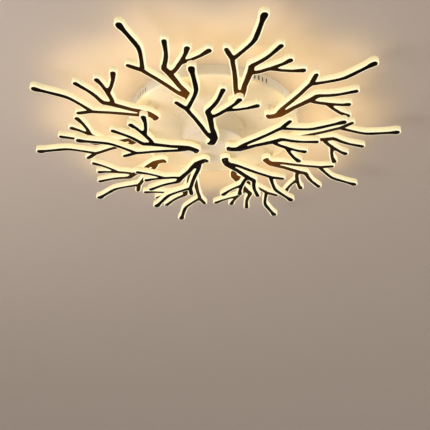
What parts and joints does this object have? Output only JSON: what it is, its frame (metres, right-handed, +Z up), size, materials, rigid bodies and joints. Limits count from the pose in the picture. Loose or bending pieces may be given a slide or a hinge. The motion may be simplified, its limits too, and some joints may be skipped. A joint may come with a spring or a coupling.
{
  "type": "branch ceiling light",
  "caption": "Flush ceiling light: a round vented canopy and a hub drum carry tiers of antler-shaped arms, each a flat metal face plate under a lit acrylic body.",
  "frame": {"origin": "middle of the ceiling bracket's top face, on the ceiling plane", "axes": "+Z up into the ceiling, +X along the ceiling bracket, +Y across it towards driver_far"},
  "size_m": [1.0451, 1.0238, 0.12],
  "materials": {
    "black_plate": "satin black powder coat",
    "lit_acrylic": "milky acrylic, lit warm white from inside",
    "light_board": "white solder-mask board",
    "white_metal": "satin white powder coat",
    "white_screw": "satin white paint",
    "black_screw": "black oxide",
    "zinc_steel": "bright zinc plate",
    "driver_case": "fine-textured moulded plastic",
    "terminal_plastic": "natural nylon",
    "lead_sheath": "matt white PVC sheath"
  },
  "bodies": {
    "root": {"arm_leads": "lead_sheath", "arm_nipples": "white_metal", "arm_root_nuts": "zinc_steel", "arm_root_screws": "black_screw", "arm_spacers": "white_metal", "bracket_side_screws": "white_screw", "canopy_shell": "white_metal", "ceiling_bracket": "zinc_steel", "chassis_screws": "zinc_steel", "driver_far": "driver_case", "driver_near": "driver_case", "hub_drum": "white_metal", "inner_acrylic_body_01": "lit_acrylic", "inner_acrylic_body_02": "lit_acrylic", "inner_acrylic_body_03": "lit_acrylic", "inner_acrylic_body_04": "lit_acrylic", "inner_acrylic_body_05": "lit_acrylic", "inner_face_plate_01": "black_plate", "inner_face_plate_02": "black_plate", "inner_face_plate_03": "black_plate", "inner_face_plate_04": "black_plate", "inner_face_plate_05": "black_plate", "inner_light_board_01": "light_board", "inner_light_board_02": "light_board", "inner_light_board_03": "light_board", "inner_light_board_04": "light_board", "inner_light_board_05": "light_board", "nipple_locknuts": "white_metal", "outer_acrylic_body_01": "lit_acrylic", "outer_acrylic_body_02": "lit_acrylic", "outer_acrylic_body_03": "lit_acrylic", "outer_acrylic_body_04": "lit_acrylic", "outer_acrylic_body_05": "lit_acrylic", "outer_acrylic_body_06": "lit_acrylic", "outer_acrylic_body_07": "lit_acrylic", "outer_acrylic_body_08": "lit_acrylic", "outer_acrylic_body_09": "lit_acrylic", "outer_acrylic_body_10": "lit_acrylic", "outer_face_plate_01": "black_plate", "outer_face_plate_02": "black_plate", "outer_face_plate_03": "black_plate", "outer_face_plate_04": "black_plate", "outer_face_plate_05": "black_plate", "outer_face_plate_06": "black_plate", "outer_face_plate_07": "black_plate", "outer_face_plate_08": "black_plate", "outer_face_plate_09": "black_plate", "outer_face_plate_10": "black_plate", "outer_light_board_01": "light_board", "outer_light_board_02": "light_board", "outer_light_board_03": "light_board", "outer_light_board_04": "light_board", "outer_light_board_05": "light_board", "outer_light_board_06": "light_board", "outer_light_board_07": "light_board", "outer_light_board_08": "light_board", "outer_light_board_09": "light_board", "outer_light_board_10": "light_board", "supply_leads": "lead_sheath", "terminal_block": "terminal_plastic"}
  },
  "joints": []
}
